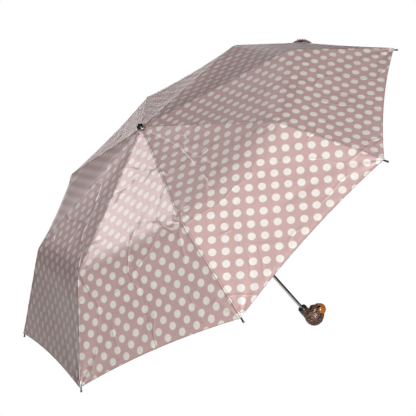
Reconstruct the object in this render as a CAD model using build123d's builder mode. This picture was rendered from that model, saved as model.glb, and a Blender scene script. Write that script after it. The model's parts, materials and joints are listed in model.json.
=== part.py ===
from build123d import *
import os
from math import asin, cos, radians, sin, tan

# A folding umbrella with eight ribs, each in three lengths that fold like a Z, and a shaft of three
# telescoping tubes. It is modelled open. The shaft runs along +Z with the handle's neck at Z = 0,
# so the handle hangs below the origin. Rib 1 lies along +X, and the others follow every 45 degrees.

# ---- driving dimensions, millimetres and degrees ----
rib_count = 8
inner_rib_length = 160.0  # crown pivot to first knuckle
middle_rib_length = 154.6  # first knuckle to second knuckle
outer_rib_length = 203.4  # second knuckle to the hem corner
inner_slope = 11.36  # inner and middle ribs, below the horizontal
outer_slope = 39.77  # outer rib, below the horizontal
open_shaft_length = 542.5  # handle neck to the crown's pivots, all tubes drawn out
tube_overlap = 25.0  # what stays inside the next tube when drawn out
handle_gap = 2.5  # upper tube's end to the handle's neck when folded

lower_tube_radius = 3.5
lower_tube_wall = 0.5
middle_tube_radius = 4.2
middle_tube_wall = 0.45
upper_tube_radius = 4.95
upper_tube_wall = 0.5
slide_clearance = 0.05  # radial, tube neck on the tube inside it
neck_length = 6.0  # the swaged end that guides the tube inside
bush_length = 9.0
bush_stem_length = 6.0
bush_stem_clearance = 0.02
edge_break = 0.4  # small chamfer on turned parts

crown_pivot_radius = 12.0
crown_radius = 14.2
crown_above = 2.2  # disc over the pivots
crown_below = 3.5  # disc under them
crown_hub_radius = 7.2
crown_hub_drop = 9.0  # hub below the disc
crown_slot_width = 2.2
crown_slot_depth = 8.2  # radius where a slot starts
crown_wire_radius = 0.55
crown_wire_groove = 0.05
ring_hole_clearance = 0.1
slot_run_out = 2.0  # a slot's cut past the rim
rim_round = 0.8  # moulded edge of the crown and of the runner's flange

tongue_thickness = 1.4  # flattened rib end in a slot or between two ears
ear_thickness = 0.5
ear_gap = 0.15  # between a tongue's face and an ear
rivet_radius = 0.5
rivet_clearance = 0.06
ear_radius = 1.25

inner_rib_width = 4.4
inner_rib_height = 3.6
inner_rib_wall = 0.5
middle_rib_width = 3.8
middle_rib_height = 3.0
middle_rib_wall = 0.5
outer_wire_radius = 1.1
stack_gap = 0.4  # between two folded ribs
knuckle_gap = 2.0  # from a knuckle's ear to the end of the full section
crown_gap = 3.0  # from the crown's rim to the inner rib's full section
end_plate = 0.6  # closes a rib's section where its ears or tongue start

stretcher_length = 105.0
stretcher_attach = 90.0  # along the inner rib from the crown's pivot
stretcher_drop = 3.2  # its pivot below the rib's centre line
stretcher_width = 1.9
stretcher_height = 2.4
stretcher_tongue = 9.0  # flattened end at the runner

runner_flange_radius = 10.8
runner_flange_height = 7.0
runner_sleeve_radius = 7.0
runner_sleeve_length = 19.0
sleeve_round = 0.6
runner_end_margin = 3.0  # upper tube beyond the closed runner
runner_slot_width = 2.4
runner_slot_clearance = 0.4  # behind a stretcher's end
runner_keyway_width = 3.2
runner_keyway_depth = 1.25
catch_width = 2.2
catch_length = 12.0
catch_nose = 1.1  # how far it stands out of the upper tube
catch_thickness = 0.35
catch_drop = 1.0  # below the open runner
catch_side_gap = 0.2
catch_hook = 2.5  # the flat of its nose
catch_clearance = 0.02

tip_radius = 1.6
tip_bead_radius = 2.1
tip_overhang = 8.5  # beyond the hem corner
tip_seat = 5.0  # the tip's sleeve over the wire

fabric_thickness = 0.5
fabric_gap = 0.35  # cloth to the nearest metal
seam_gap = 0.3  # half the gap between two gores
hem_sag = 9.5  # how far each hem's middle draws in
fabric_hole_radius = 5.6

washer_radius = 8.0
washer_thickness = 1.2
washer_gap = 0.3  # over the cloth's top
ferrule_radius = 7.0
ferrule_band = 4.0
ferrule_dome = 4.5
ferrule_plug = 10.0  # its stem inside the upper tube

handle_neck_radius = 9.8
handle_neck_length = 15.0
neck_chamfer = 1.2
head_reach_radius = 21.0  # the head's half-widths: toward the bill, across, and up and down
head_side_radius = 17.0
head_rise_radius = 22.5
head_lean = 8.0  # the head's centre off the shaft, toward the bill
head_drop = 37.5  # the head's centre below the neck
handle_azimuth = 13.4  # the way the bill points
tube_seat = 34.0  # lower tube inside the handle
bill_radius = 13.2
bill_reach = 27.0  # centre of the bill's dome off the shaft
bill_drop = 35.0  # below the neck
eye_radius = 4.2
eye_reach = 28.5  # the eyes' plane off the shaft
eye_upturn = 54.0  # how far an eye looks up from straight sideways
eye_clearance = 0.05  # filled by glue
eye_seat = 8.0  # the socket's floor from the middle of the bill
eye_rim = 10.9  # where the eye's dome starts
eye_dome = 3.0

strap_width = 13.0
strap_length = 66.0
strap_thickness = 5.0
strap_overhang = 3.0  # its middle beyond the hem corner
strap_gap = 0.5  # over the cloth
stud_reach = 14.0  # along the strap from its middle
stud_radius = 4.0
stud_height = 1.2

# ---- places worked out from them ----
rib_step = 360.0 / rib_count
gore_half = rib_step / 2
first_stack = inner_rib_height / 2 + middle_rib_height / 2 + stack_gap
second_stack = middle_rib_height / 2 + outer_wire_radius + stack_gap
rib_drop = fabric_thickness + fabric_gap + ear_radius + first_stack / 2


def along(slope):
    """Unit vector down a slope, in a rib's plane."""
    return Vector(cos(radians(slope)), 0, -sin(radians(slope)))


def square_to(slope):
    """Unit vector out of the slope, toward the cloth."""
    return Vector(sin(radians(slope)), 0, cos(radians(slope)))


upper_run = along(inner_slope)
upper_out = square_to(inner_slope)
lower_run = along(outer_slope)
lower_out = square_to(outer_slope)

crown_pivot = Vector(crown_pivot_radius, 0, open_shaft_length)
first_knuckle = crown_pivot + upper_run * inner_rib_length + upper_out * (first_stack / 2)
second_foot = crown_pivot + upper_run * (inner_rib_length + middle_rib_length)
second_knuckle = second_foot - upper_out * (second_stack / 2)
outer_start = second_knuckle + lower_out * (second_stack / 2)
hem_corner = second_knuckle + lower_run * outer_rib_length + lower_out * (rib_drop + second_stack / 2)
tip_drop = fabric_thickness + fabric_gap + tip_bead_radius
outer_end = hem_corner - lower_out * tip_drop
outer_run = (outer_end - outer_start).normalized()

knee_turn = radians((outer_slope - inner_slope) / 2)
knee_bisector = (upper_out + lower_out).normalized()
cloth_knee = second_knuckle + knee_bisector * ((rib_drop + second_stack / 2) / cos(knee_turn))
cloth_apex_z = cloth_knee.Z + cloth_knee.X * tan(radians(inner_slope))

attach_foot = crown_pivot + upper_run * stretcher_attach
stretcher_pivot = attach_foot - upper_out * stretcher_drop
runner_pivot_radius = crown_pivot_radius - stretcher_drop
stretcher_spread = stretcher_pivot.X - runner_pivot_radius
runner_pivot_z = stretcher_pivot.Z - (stretcher_length**2 - stretcher_spread**2) ** 0.5
runner_closed_z = crown_pivot.Z - stretcher_attach - stretcher_length
runner_travel = runner_pivot_z - runner_closed_z
runner_pivot = Vector(runner_pivot_radius, 0, runner_pivot_z)
stretcher_run = (runner_pivot - stretcher_pivot).normalized()

runner_top = runner_pivot_z + runner_flange_height / 2
runner_bottom = runner_top - runner_flange_height - runner_sleeve_length
upper_tube_length = crown_pivot.Z - (runner_bottom - runner_travel) + runner_end_margin
upper_tube_bottom = crown_pivot.Z - upper_tube_length
crown_top = crown_pivot.Z + crown_above
crown_face = crown_pivot.Z - crown_below
telescope_travel = upper_tube_bottom - handle_gap
middle_tube_bottom = upper_tube_bottom - telescope_travel / 2
middle_tube_top = upper_tube_bottom + tube_overlap
lower_tube_top = middle_tube_bottom + tube_overlap

os.makedirs("parts", exist_ok=True)


def save(part, name):
    """Label a finished piece and write it under its own name."""
    part.label = name
    export_step(part, f"parts/{name}.step")


def rib_section(origin, run):
    """A plane across rib 1 at a point: local X sideways (+Y), local Y toward the cloth."""
    return Plane(origin=origin, x_dir=(0, 1, 0), z_dir=run)


def rib_side(origin, run):
    """A plane through rib 1's own plane: local X along the run, local Y toward the cloth."""
    return Plane(origin=origin, x_dir=run, z_dir=(0, -1, 0))


def place_ribs(part, name):
    """Write one copy of a rib-1 piece for every rib."""
    for number in range(rib_count):
        save(part.rotate(Axis.Z, number * rib_step), f"{name}_{number + 1}")


ear_face = tongue_thickness / 2 + ear_gap  # inner face of an ear from the rib's mid-plane
rivet_length = 2 * (ear_face + ear_thickness)

# ---- shaft: three tubes, each with a swaged neck that guides the next ----
with BuildPart() as shaft_lower:
    with BuildSketch(Plane.XY.offset(-tube_seat)):
        Circle(lower_tube_radius)
        Circle(lower_tube_radius - lower_tube_wall, mode=Mode.SUBTRACT)
    extrude(amount=tube_seat + lower_tube_top)
save(shaft_lower.part, "shaft_lower")

with BuildPart() as shaft_middle:
    with BuildSketch(Plane.XY.offset(middle_tube_bottom)):
        Circle(middle_tube_radius)
        Circle(lower_tube_radius + slide_clearance, mode=Mode.SUBTRACT)
    extrude(amount=neck_length)
    with BuildSketch(Plane.XY.offset(middle_tube_bottom + neck_length)):
        Circle(middle_tube_radius)
        Circle(middle_tube_radius - middle_tube_wall, mode=Mode.SUBTRACT)
    extrude(amount=middle_tube_top - middle_tube_bottom - neck_length)
    # the slot that lets the pressed runner catch pass when the tubes are pushed together
    catch_slot_foot = runner_bottom - catch_drop - catch_length - telescope_travel / 2 - catch_width
    with BuildSketch(Plane.XY.offset(max(catch_slot_foot, middle_tube_bottom + 2 * neck_length))):
        with Locations((0, middle_tube_radius)):
            Rectangle(catch_width + 2 * catch_side_gap, middle_tube_radius * 2)
    extrude(until=Until.LAST, mode=Mode.SUBTRACT)
save(shaft_middle.part, "shaft_middle")

with BuildPart() as shaft_upper:
    with BuildSketch(Plane.XY.offset(upper_tube_bottom)):
        Circle(upper_tube_radius)
        Circle(middle_tube_radius + slide_clearance, mode=Mode.SUBTRACT)
    extrude(amount=neck_length)
    with BuildSketch(Plane.XY.offset(upper_tube_bottom + neck_length)):
        Circle(upper_tube_radius)
        Circle(upper_tube_radius - upper_tube_wall, mode=Mode.SUBTRACT)
    extrude(amount=crown_top - upper_tube_bottom - neck_length)
    # window for the runner catch
    with BuildSketch(Plane.XY.offset(runner_bottom - catch_drop - catch_length - catch_side_gap)):
        with Locations((0, upper_tube_radius)):
            Rectangle(catch_width + 2 * catch_side_gap, upper_tube_radius)
    extrude(amount=catch_length + 2 * catch_side_gap, mode=Mode.SUBTRACT)
save(shaft_upper.part, "shaft_upper")

# the lower tube's bush is a plug: its stem is pressed in the tube and its collar runs in the middle tube
with BuildPart() as bush_lower:
    with BuildSketch(Plane.XY.offset(lower_tube_top)):
        Circle(middle_tube_radius - middle_tube_wall - slide_clearance)
    extrude(amount=bush_length)
    with BuildSketch(Plane.XY.offset(lower_tube_top)):
        Circle(lower_tube_radius - lower_tube_wall - bush_stem_clearance)
    extrude(amount=-bush_stem_length)
    chamfer(bush_lower.edges().filter_by(GeomType.CIRCLE).sort_by(Axis.Z)[-1:], length=edge_break)
save(bush_lower.part, "bush_lower")

# the middle tube's bush is a ring on its end, so that the lower tube can pass through it
with BuildPart() as bush_middle:
    with BuildSketch(Plane.XY.offset(middle_tube_top)):
        Circle(upper_tube_radius - upper_tube_wall - slide_clearance)
        Circle(middle_tube_radius - middle_tube_wall, mode=Mode.SUBTRACT)
        with Locations((0, upper_tube_radius)):
            Rectangle(catch_width + 2 * catch_side_gap, upper_tube_radius * 2, mode=Mode.SUBTRACT)
    extrude(amount=bush_length)
save(bush_middle.part, "bush_middle")

# ---- crown: the slotted disc that holds the ribs on a wire ring ----
with BuildPart() as crown:
    with BuildSketch(Plane.XY.offset(crown_face)):
        Circle(crown_radius)
    extrude(amount=crown_above + crown_below)
    fillet(crown.edges().filter_by(GeomType.CIRCLE), radius=rim_round)
    with BuildSketch(Plane.XY.offset(crown_face - crown_hub_drop)):
        Circle(crown_hub_radius)
    extrude(amount=crown_hub_drop)
    with BuildSketch(Plane.XY.offset(crown_face - crown_hub_drop)):
        Circle(upper_tube_radius)
    extrude(until=Until.LAST, mode=Mode.SUBTRACT)
    # radial slots, open at the rim and at both faces
    slot_reach = crown_radius + slot_run_out - crown_slot_depth
    with BuildSketch(Plane.XY.offset(crown_face)):
        with PolarLocations(0, rib_count):
            with Locations((crown_slot_depth + slot_reach / 2, 0)):
                Rectangle(slot_reach, crown_slot_width)
    extrude(amount=crown_above + crown_below, mode=Mode.SUBTRACT)
    # groove for the wire ring, open to the top so that the ring can be laid in
    with BuildSketch(Plane.XZ):
        with Locations((crown_pivot_radius, crown_pivot.Z)):
            Circle(crown_wire_radius + crown_wire_groove)
        with Locations((crown_pivot_radius, crown_pivot.Z + crown_above / 2)):
            Rectangle(2 * (crown_wire_radius + crown_wire_groove), crown_above)
    revolve(axis=Axis.Z, mode=Mode.SUBTRACT)
save(crown.part, "crown")

with BuildPart() as crown_wire:
    with BuildSketch(Plane.XZ):
        with Locations((crown_pivot_radius, crown_pivot.Z)):
            Circle(crown_wire_radius)
    revolve(axis=Axis.Z)
save(crown_wire.part, "crown_wire")

# ---- ferrule and the washer that grips the cloth under it ----
washer_bottom = cloth_apex_z + washer_gap
with BuildPart() as washer:
    with BuildSketch(Plane.XY.offset(washer_bottom)):
        Circle(washer_radius)
    extrude(amount=washer_thickness)
    chamfer(washer.edges().filter_by(GeomType.CIRCLE).sort_by(Axis.Z)[-1:], length=edge_break)
    with BuildSketch(Plane.XY.offset(washer_bottom)):
        Circle(upper_tube_radius - upper_tube_wall)
    extrude(amount=washer_thickness, mode=Mode.SUBTRACT)
save(washer.part, "cap_washer")

ferrule_bottom = washer_bottom + washer_thickness
dome_foot = ferrule_bottom + ferrule_band
dome_sphere = (ferrule_radius**2 + ferrule_dome**2) / (2 * ferrule_dome)
dome_angle = asin(ferrule_radius / dome_sphere) / 2
shoulder_z = dome_foot + ferrule_dome - dome_sphere * (1 - cos(dome_angle))
dome_shoulder = (dome_sphere * sin(dome_angle), shoulder_z)
ferrule_stem = upper_tube_radius - upper_tube_wall - bush_stem_clearance
with BuildPart() as ferrule:
    with BuildSketch(Plane.XZ):
        with BuildLine():
            Polyline(
                (0, dome_foot + ferrule_dome),
                (0, crown_top - ferrule_plug),
                (ferrule_stem, crown_top - ferrule_plug),
                (ferrule_stem, ferrule_bottom),
                (ferrule_radius, ferrule_bottom),
                (ferrule_radius, dome_foot),
            )
            ThreePointArc((ferrule_radius, dome_foot), dome_shoulder, (0, dome_foot + ferrule_dome))
        make_face()
    revolve(axis=Axis.Z)
save(ferrule.part, "ferrule")

# ---- runner: the slider that spreads the stretchers ----
with BuildPart() as runner:
    with BuildSketch(Plane.XY.offset(runner_top - runner_flange_height)):
        Circle(runner_flange_radius)
    extrude(amount=runner_flange_height)
    fillet(runner.edges().filter_by(GeomType.CIRCLE), radius=rim_round)
    with BuildSketch(Plane.XY.offset(runner_bottom)):
        Circle(runner_sleeve_radius)
    extrude(amount=runner_sleeve_length)
    fillet(runner.edges().filter_by(GeomType.CIRCLE).sort_by(Axis.Z)[:1], radius=sleeve_round)
    with BuildSketch(Plane.XY.offset(runner_bottom)):
        Circle(upper_tube_radius + slide_clearance)
        with Locations((0, (upper_tube_radius + runner_keyway_depth) / 2)):
            Rectangle(runner_keyway_width, upper_tube_radius + runner_keyway_depth)
    extrude(amount=runner_sleeve_length + runner_flange_height, mode=Mode.SUBTRACT)
    runner_slot_start = runner_pivot_radius - stretcher_height / 2 - runner_slot_clearance
    runner_slot_reach = runner_flange_radius + slot_run_out - runner_slot_start
    with BuildSketch(Plane.XY.offset(runner_top - runner_flange_height)):
        with PolarLocations(0, rib_count):
            with Locations((runner_slot_start + runner_slot_reach / 2, 0)):
                Rectangle(runner_slot_reach, runner_slot_width)
    extrude(amount=runner_flange_height, mode=Mode.SUBTRACT)
save(runner.part, "runner")

# ---- runner catch: a leaf in the upper tube's window whose nose stands under the runner ----
catch_top = runner_bottom - catch_drop
catch_outer = upper_tube_radius
catch_inner = upper_tube_radius - upper_tube_wall + catch_clearance
with BuildPart() as runner_catch:
    with BuildSketch(Plane.YZ.offset(-catch_width / 2)):
        with BuildLine():
            Polyline(
                (catch_inner, catch_top - catch_length),
                (catch_inner + catch_thickness, catch_top - catch_length),
                (catch_outer + catch_nose, catch_top - catch_hook),
                (catch_outer + catch_nose, catch_top),
                (catch_inner, catch_top),
                close=True,
            )
        make_face()
    extrude(amount=catch_width)
save(runner_catch.part, "runner_catch")


def channel(start, run, length, width, height, wall):
    """A U-section rib, open on its underside."""
    with BuildPart() as rib:
        with BuildSketch(rib_section(start, run)):
            Rectangle(width, height)
            with Locations((0, -wall)):
                Rectangle(width - 2 * wall, height, mode=Mode.SUBTRACT)
        extrude(amount=length)
    return rib.part


def ear_pair(pivot, start, run, half_height):
    """Two ears from a rib's end out to a knuckle, with the rivet between them."""
    local = rib_side(pivot, run)
    foot = local.to_local_coords(start)
    with BuildPart() as ears:
        for side in (-1, 1):
            face = side * ear_face
            with BuildSketch(local.offset(face)):
                with BuildLine():
                    Polyline(
                        (foot.X, foot.Y - half_height),
                        (foot.X, foot.Y + half_height),
                        (0, ear_radius),
                        (0, -ear_radius),
                        close=True,
                    )
                make_face()
                Circle(ear_radius)
            extrude(amount=side * ear_thickness)
        with BuildSketch(local.offset(-rivet_length / 2)):
            Circle(rivet_radius)
        extrude(amount=rivet_length)
    return ears.part


def tongue(pivot, start, run, half_height, hole_radius):
    """A flattened rib end with the hole that turns on a rivet or a wire."""
    local = rib_side(pivot, run)
    foot = local.to_local_coords(start)
    with BuildPart() as end:
        with BuildSketch(local.offset(-tongue_thickness / 2)):
            with BuildLine():
                Polyline(
                    (foot.X, foot.Y - half_height),
                    (foot.X, foot.Y + half_height),
                    (0, ear_radius),
                    (0, -ear_radius),
                    close=True,
                )
            make_face()
            Circle(ear_radius)
            Circle(hole_radius, mode=Mode.SUBTRACT)
        extrude(amount=tongue_thickness)
    return end.part


rivet_hole = rivet_radius + rivet_clearance

# ---- inner ribs: crown to first knuckle, with a bracket for the stretcher ----
inner_tongue = crown_radius - crown_pivot_radius + crown_gap
inner_start = crown_pivot + upper_run * inner_tongue
inner_section_length = inner_rib_length - inner_tongue - knuckle_gap - ear_radius
inner_finish = inner_start + upper_run * inner_section_length
with BuildPart() as inner_rib:
    add(channel(inner_start, upper_run, inner_section_length, inner_rib_width, inner_rib_height,
                inner_rib_wall))
    add(tongue(crown_pivot, inner_start + upper_run * end_plate, upper_run, inner_rib_height / 2,
               crown_wire_radius + ring_hole_clearance))
    add(ear_pair(first_knuckle, inner_finish, upper_run, inner_rib_height / 2))
    # the end plate that the two ears are pressed from
    with BuildSketch(rib_section(inner_finish - upper_run * end_plate, upper_run)):
        Rectangle(inner_rib_width, inner_rib_height)
    extrude(amount=end_plate)
    with BuildSketch(rib_section(inner_start, upper_run)):
        Rectangle(inner_rib_width, inner_rib_height)
    extrude(amount=end_plate)
    # stretcher bracket: two ears below the channel's sides and a rivet across
    bracket = rib_side(stretcher_pivot, upper_run)
    bracket_outer = inner_rib_width / 2
    for side in (-1, 1):
        with BuildSketch(bracket.offset(side * (bracket_outer - inner_rib_wall))):
            Circle(ear_radius)
            with Locations((0, stretcher_drop / 2)):
                Rectangle(2 * ear_radius, stretcher_drop)
        extrude(amount=side * inner_rib_wall)
    with BuildSketch(bracket.offset(-bracket_outer)):
        Circle(rivet_radius)
    extrude(amount=2 * bracket_outer)
place_ribs(inner_rib.part, "inner_rib")

# ---- stretchers: bracket on the inner rib down to the runner ----
with BuildPart() as stretcher:
    bar_finish = runner_pivot - stretcher_run * stretcher_tongue
    bar_length = (bar_finish - stretcher_pivot).length
    with BuildSketch(rib_side(stretcher_pivot, stretcher_run).offset(-stretcher_width / 2)):
        with BuildLine():
            Polyline((0, -stretcher_height / 2), (bar_length, -stretcher_height / 2),
                     (bar_length, stretcher_height / 2), (0, stretcher_height / 2), close=True)
        make_face()
        Circle(stretcher_height / 2)
        Circle(rivet_hole, mode=Mode.SUBTRACT)
    extrude(amount=stretcher_width)
    add(tongue(runner_pivot, bar_finish - stretcher_run * end_plate, stretcher_run, stretcher_height / 2,
               rivet_hole))
place_ribs(stretcher.part, "stretcher")

# ---- middle ribs: first knuckle to second knuckle ----
middle_start = crown_pivot + upper_run * (inner_rib_length + knuckle_gap + ear_radius)
middle_section_length = middle_rib_length - 2 * (knuckle_gap + ear_radius)
middle_finish = middle_start + upper_run * middle_section_length
with BuildPart() as middle_rib:
    add(channel(middle_start, upper_run, middle_section_length, middle_rib_width, middle_rib_height,
                middle_rib_wall))
    add(tongue(first_knuckle, middle_start + upper_run * end_plate, upper_run, middle_rib_height / 2,
               rivet_hole))
    add(ear_pair(second_knuckle, middle_finish, upper_run, middle_rib_height / 2))
    for plate_start in (middle_start, middle_finish - upper_run * end_plate):
        with BuildSketch(rib_section(plate_start, upper_run)):
            Rectangle(middle_rib_width, middle_rib_height)
        extrude(amount=end_plate)
place_ribs(middle_rib.part, "middle_rib")

# ---- outer ribs: spring wire from the second knuckle to the hem, with a metal tip ----
wire_start = outer_start + outer_run * (knuckle_gap + ear_radius)
wire_length = (outer_end - wire_start).length
with BuildPart() as outer_wire:
    with BuildSketch(rib_section(wire_start, outer_run)):
        Circle(outer_wire_radius)
    extrude(amount=wire_length)
    add(tongue(second_knuckle, wire_start + outer_run * end_plate, outer_run, outer_wire_radius, rivet_hole))
with BuildPart() as rib_tip:
    with BuildSketch(rib_section(outer_end - outer_run * tip_seat, outer_run)):
        Circle(tip_radius)
        Circle(outer_wire_radius, mode=Mode.SUBTRACT)
    extrude(amount=tip_seat)
    with BuildSketch(rib_section(outer_end, outer_run)):
        Circle(tip_radius)
    extrude(amount=tip_overhang - tip_bead_radius)
    with Locations(outer_end + outer_run * (tip_overhang - tip_bead_radius)):
        Sphere(tip_bead_radius)
for number in range(rib_count):
    turned = [piece.part.solid().rotate(Axis.Z, number * rib_step) for piece in (outer_wire, rib_tip)]
    save(Compound(children=turned), f"outer_rib_{number + 1}")

# ---- canopy: eight gores, each two flat panels between neighbouring ribs ----
seam_back = seam_gap / sin(radians(gore_half))  # moves a gore outward so that its seams stand apart


def gore_point(radius, z, edge):
    """A point on the seam line of the gore that lies along +X, edge -1 or +1."""
    turn = radians(edge * gore_half)
    return Vector(radius * cos(turn) + seam_back, radius * sin(turn), z)


def drawn_in(start, finish, toward, sag):
    """The middle of a hem, drawn in toward the panel's knee line."""
    middle = (start + finish) * 0.5
    return middle + (toward - middle).normalized() * sag


def panel(corners, hem_middle, down):
    """A flat panel of cloth: straight sides and, at the hem, an arc."""
    with BuildPart() as cloth:
        with BuildSketch(Plane(origin=corners[0], x_dir=corners[1] - corners[0], z_dir=down)) as face:
            local = [face.workplanes[0].to_local_coords(corner) for corner in corners]
            with BuildLine():
                if hem_middle is None:
                    Polyline(*[(p.X, p.Y) for p in local], close=True)
                else:
                    middle = face.workplanes[0].to_local_coords(hem_middle)
                    Polyline(*[(p.X, p.Y) for p in (local[2], local[3], local[0], local[1])])
                    ThreePointArc((local[1].X, local[1].Y), (middle.X, middle.Y), (local[2].X, local[2].Y))
            make_face()
        extrude(amount=fabric_thickness)
    return cloth.part


hole_z = cloth_apex_z - fabric_hole_radius * tan(radians(inner_slope))
upper_corners = [
    gore_point(fabric_hole_radius, hole_z, -1),
    gore_point(cloth_knee.X, cloth_knee.Z, -1),
    gore_point(cloth_knee.X, cloth_knee.Z, 1),
    gore_point(fabric_hole_radius, hole_z, 1),
]
lower_corners = [
    gore_point(cloth_knee.X, cloth_knee.Z, -1),
    gore_point(hem_corner.X, hem_corner.Z, -1),
    gore_point(hem_corner.X, hem_corner.Z, 1),
    gore_point(cloth_knee.X, cloth_knee.Z, 1),
]
knee_middle = (upper_corners[1] + upper_corners[2]) * 0.5
hem_middle_point = drawn_in(lower_corners[1], lower_corners[2], knee_middle, hem_sag)


def downward(corners):
    """The panel's normal, on the side away from the sky."""
    normal = (corners[1] - corners[0]).cross(corners[2] - corners[0]).normalized()
    return normal if normal.Z < 0 else normal * -1


upper_panel = panel(upper_corners, None, downward(upper_corners))
lower_panel = panel(lower_corners, hem_middle_point, downward(lower_corners))
with BuildPart() as gore:
    add(upper_panel)
    add(lower_panel)
for number in range(rib_count):
    save(gore.part.rotate(Axis.Z, number * rib_step + gore_half), f"canopy_gore_{number + 1}")

# ---- tie strap: a bunched band sewn over rib 2's hem corner, with the press stud that closes it ----
strap_origin = hem_corner + lower_run * strap_overhang + lower_out * strap_gap
strap_plane = Plane(origin=strap_origin, x_dir=(0, 1, 0), z_dir=lower_out)
with BuildPart() as strap:
    with BuildSketch(strap_plane):
        RectangleRounded(strap_length, strap_width, strap_width / 3)
    extrude(amount=strap_thickness)
with BuildPart() as stud:
    with BuildSketch(strap_plane.offset(strap_thickness)):
        with Locations((stud_reach, 0)):
            Circle(stud_radius)
    extrude(amount=stud_height)
save(strap.part.rotate(Axis.Z, rib_step), "tie_strap")
save(stud.part.rotate(Axis.Z, rib_step), "strap_stud")

# ---- handle: a carved head on a short neck, pressed on the lower tube ----
with BuildPart() as neck_and_head:
    with BuildSketch(Plane.XY.offset(-handle_neck_length - head_drop / 2)):
        Circle(handle_neck_radius)
    extrude(amount=handle_neck_length + head_drop / 2)
    chamfer(neck_and_head.edges().filter_by(GeomType.CIRCLE).sort_by(Axis.Z)[-1:], length=neck_chamfer)
head_ball = scale(Sphere(1.0, mode=Mode.PRIVATE), by=(head_reach_radius, head_side_radius, head_rise_radius))
head_ball = head_ball.moved(Location((head_lean, 0, -head_drop)))
bill_ball = Sphere(bill_radius, rotation=(0, 90, 0)).moved(Location((bill_reach, 0, -bill_drop)))
eye_space = []
eye_pieces = []
for side in (-1, 1):
    eye_way = Vector(0, side * cos(radians(eye_upturn)), sin(radians(eye_upturn)))
    eye_plane = Plane(origin=Vector(eye_reach, 0, -bill_drop) + eye_way * eye_seat, z_dir=eye_way)
    with BuildPart() as eye:
        with BuildSketch(eye_plane):
            Circle(eye_radius)
        extrude(amount=eye_rim + eye_dome - eye_seat)
        fillet(eye.edges().filter_by(GeomType.CIRCLE).sort_by(Axis.Z)[-1], radius=eye_dome)
    with BuildPart() as eye_socket:
        with BuildSketch(eye_plane):
            Circle(eye_radius + eye_clearance)
        extrude(amount=bill_radius)
    eye_pieces.append(eye.part.solid())
    eye_space.append(eye_socket.part)
tube_space = Cylinder(lower_tube_radius, 4 * tube_seat).moved(Location((0, 0, tube_seat)))
head_solid = neck_and_head.part + head_ball - bill_ball - eye_space[0] - eye_space[1] - tube_space
bill_solid = bill_ball - eye_space[0] - eye_space[1]
save(head_solid.rotate(Axis.Z, handle_azimuth), "handle_head")
save(bill_solid.rotate(Axis.Z, handle_azimuth), "handle_bill")
for eye_piece, name in zip(eye_pieces, ("handle_eye_right", "handle_eye_left")):
    save(eye_piece.rotate(Axis.Z, handle_azimuth), name)
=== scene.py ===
import json
from math import atan2, cos, pi, radians, sin, sqrt, tan

import bmesh
import bpy
import numpy as np
from mathutils import Matrix, Vector, noise


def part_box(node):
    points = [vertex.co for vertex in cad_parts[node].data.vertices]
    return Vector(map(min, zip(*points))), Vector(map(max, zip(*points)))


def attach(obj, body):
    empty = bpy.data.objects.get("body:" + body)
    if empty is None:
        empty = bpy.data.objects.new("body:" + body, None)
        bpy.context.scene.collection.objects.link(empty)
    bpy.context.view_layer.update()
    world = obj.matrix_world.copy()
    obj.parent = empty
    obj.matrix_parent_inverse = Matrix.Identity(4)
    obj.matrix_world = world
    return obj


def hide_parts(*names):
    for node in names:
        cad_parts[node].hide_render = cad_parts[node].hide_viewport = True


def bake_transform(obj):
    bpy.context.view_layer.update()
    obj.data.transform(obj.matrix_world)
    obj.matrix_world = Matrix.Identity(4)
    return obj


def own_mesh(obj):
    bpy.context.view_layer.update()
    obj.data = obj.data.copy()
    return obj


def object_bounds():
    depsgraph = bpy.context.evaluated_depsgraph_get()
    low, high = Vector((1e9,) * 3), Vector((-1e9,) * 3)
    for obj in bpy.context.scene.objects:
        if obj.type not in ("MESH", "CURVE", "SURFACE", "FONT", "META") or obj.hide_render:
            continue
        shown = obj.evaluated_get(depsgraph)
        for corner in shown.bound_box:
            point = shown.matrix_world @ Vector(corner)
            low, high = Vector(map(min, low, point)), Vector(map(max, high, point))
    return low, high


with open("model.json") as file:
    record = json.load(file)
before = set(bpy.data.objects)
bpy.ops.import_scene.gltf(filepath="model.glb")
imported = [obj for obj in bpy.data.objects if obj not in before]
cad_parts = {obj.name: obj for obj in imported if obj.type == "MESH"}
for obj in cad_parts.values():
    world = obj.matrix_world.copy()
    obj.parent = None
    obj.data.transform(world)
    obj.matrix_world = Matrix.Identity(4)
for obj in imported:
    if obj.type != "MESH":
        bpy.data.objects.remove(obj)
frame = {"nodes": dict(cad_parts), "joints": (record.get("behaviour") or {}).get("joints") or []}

cad_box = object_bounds()
MM = 0.001


# ---- handle neck and head ----
# Cast resin, carved all over with overlapping feather scales, dark brown with bronze on the high edges,
# partly rubbed-in bronze and partly a painted highlight. It is pressed on the lower tube. The head leans toward
# the bill.
bill_azimuth = radians(13.4)
neck_radius = 9.8 * MM
head_centre = Vector((8.0, 0, -37.5)) * MM
head_radii = Vector((20.4, 16.6, 21.8)) * MM
carving_voxel = 0.7 * MM
head_lean = 8.0 * MM  # the head's axis off the shaft's
chin_depth = 44 * MM  # the rows of scales draw closer below here
scale_length = 1.62  # of a scale, in rows, so that each row covers part of the next


def add_piece(name, mesh, body, material, replaced=()):
    """Link a mesh as a piece that rides on a body, if one is named, and stands for some frame nodes."""
    piece = bpy.data.objects.new(name, mesh)
    bpy.context.scene.collection.objects.link(piece)
    piece.data.materials.append(material)
    if body:
        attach(piece, body)
    if replaced:
        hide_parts(*replaced)
    return piece


def applied(piece):
    """Swap a piece's mesh for what its modifiers make of it."""
    graph = bpy.context.evaluated_depsgraph_get()
    mesh = bpy.data.meshes.new_from_object(piece.evaluated_get(graph))
    piece.modifiers.clear()
    piece.data = mesh
    return mesh


def shade_smooth(mesh):
    mesh.polygons.foreach_set("use_smooth", [True] * len(mesh.polygons))


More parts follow.
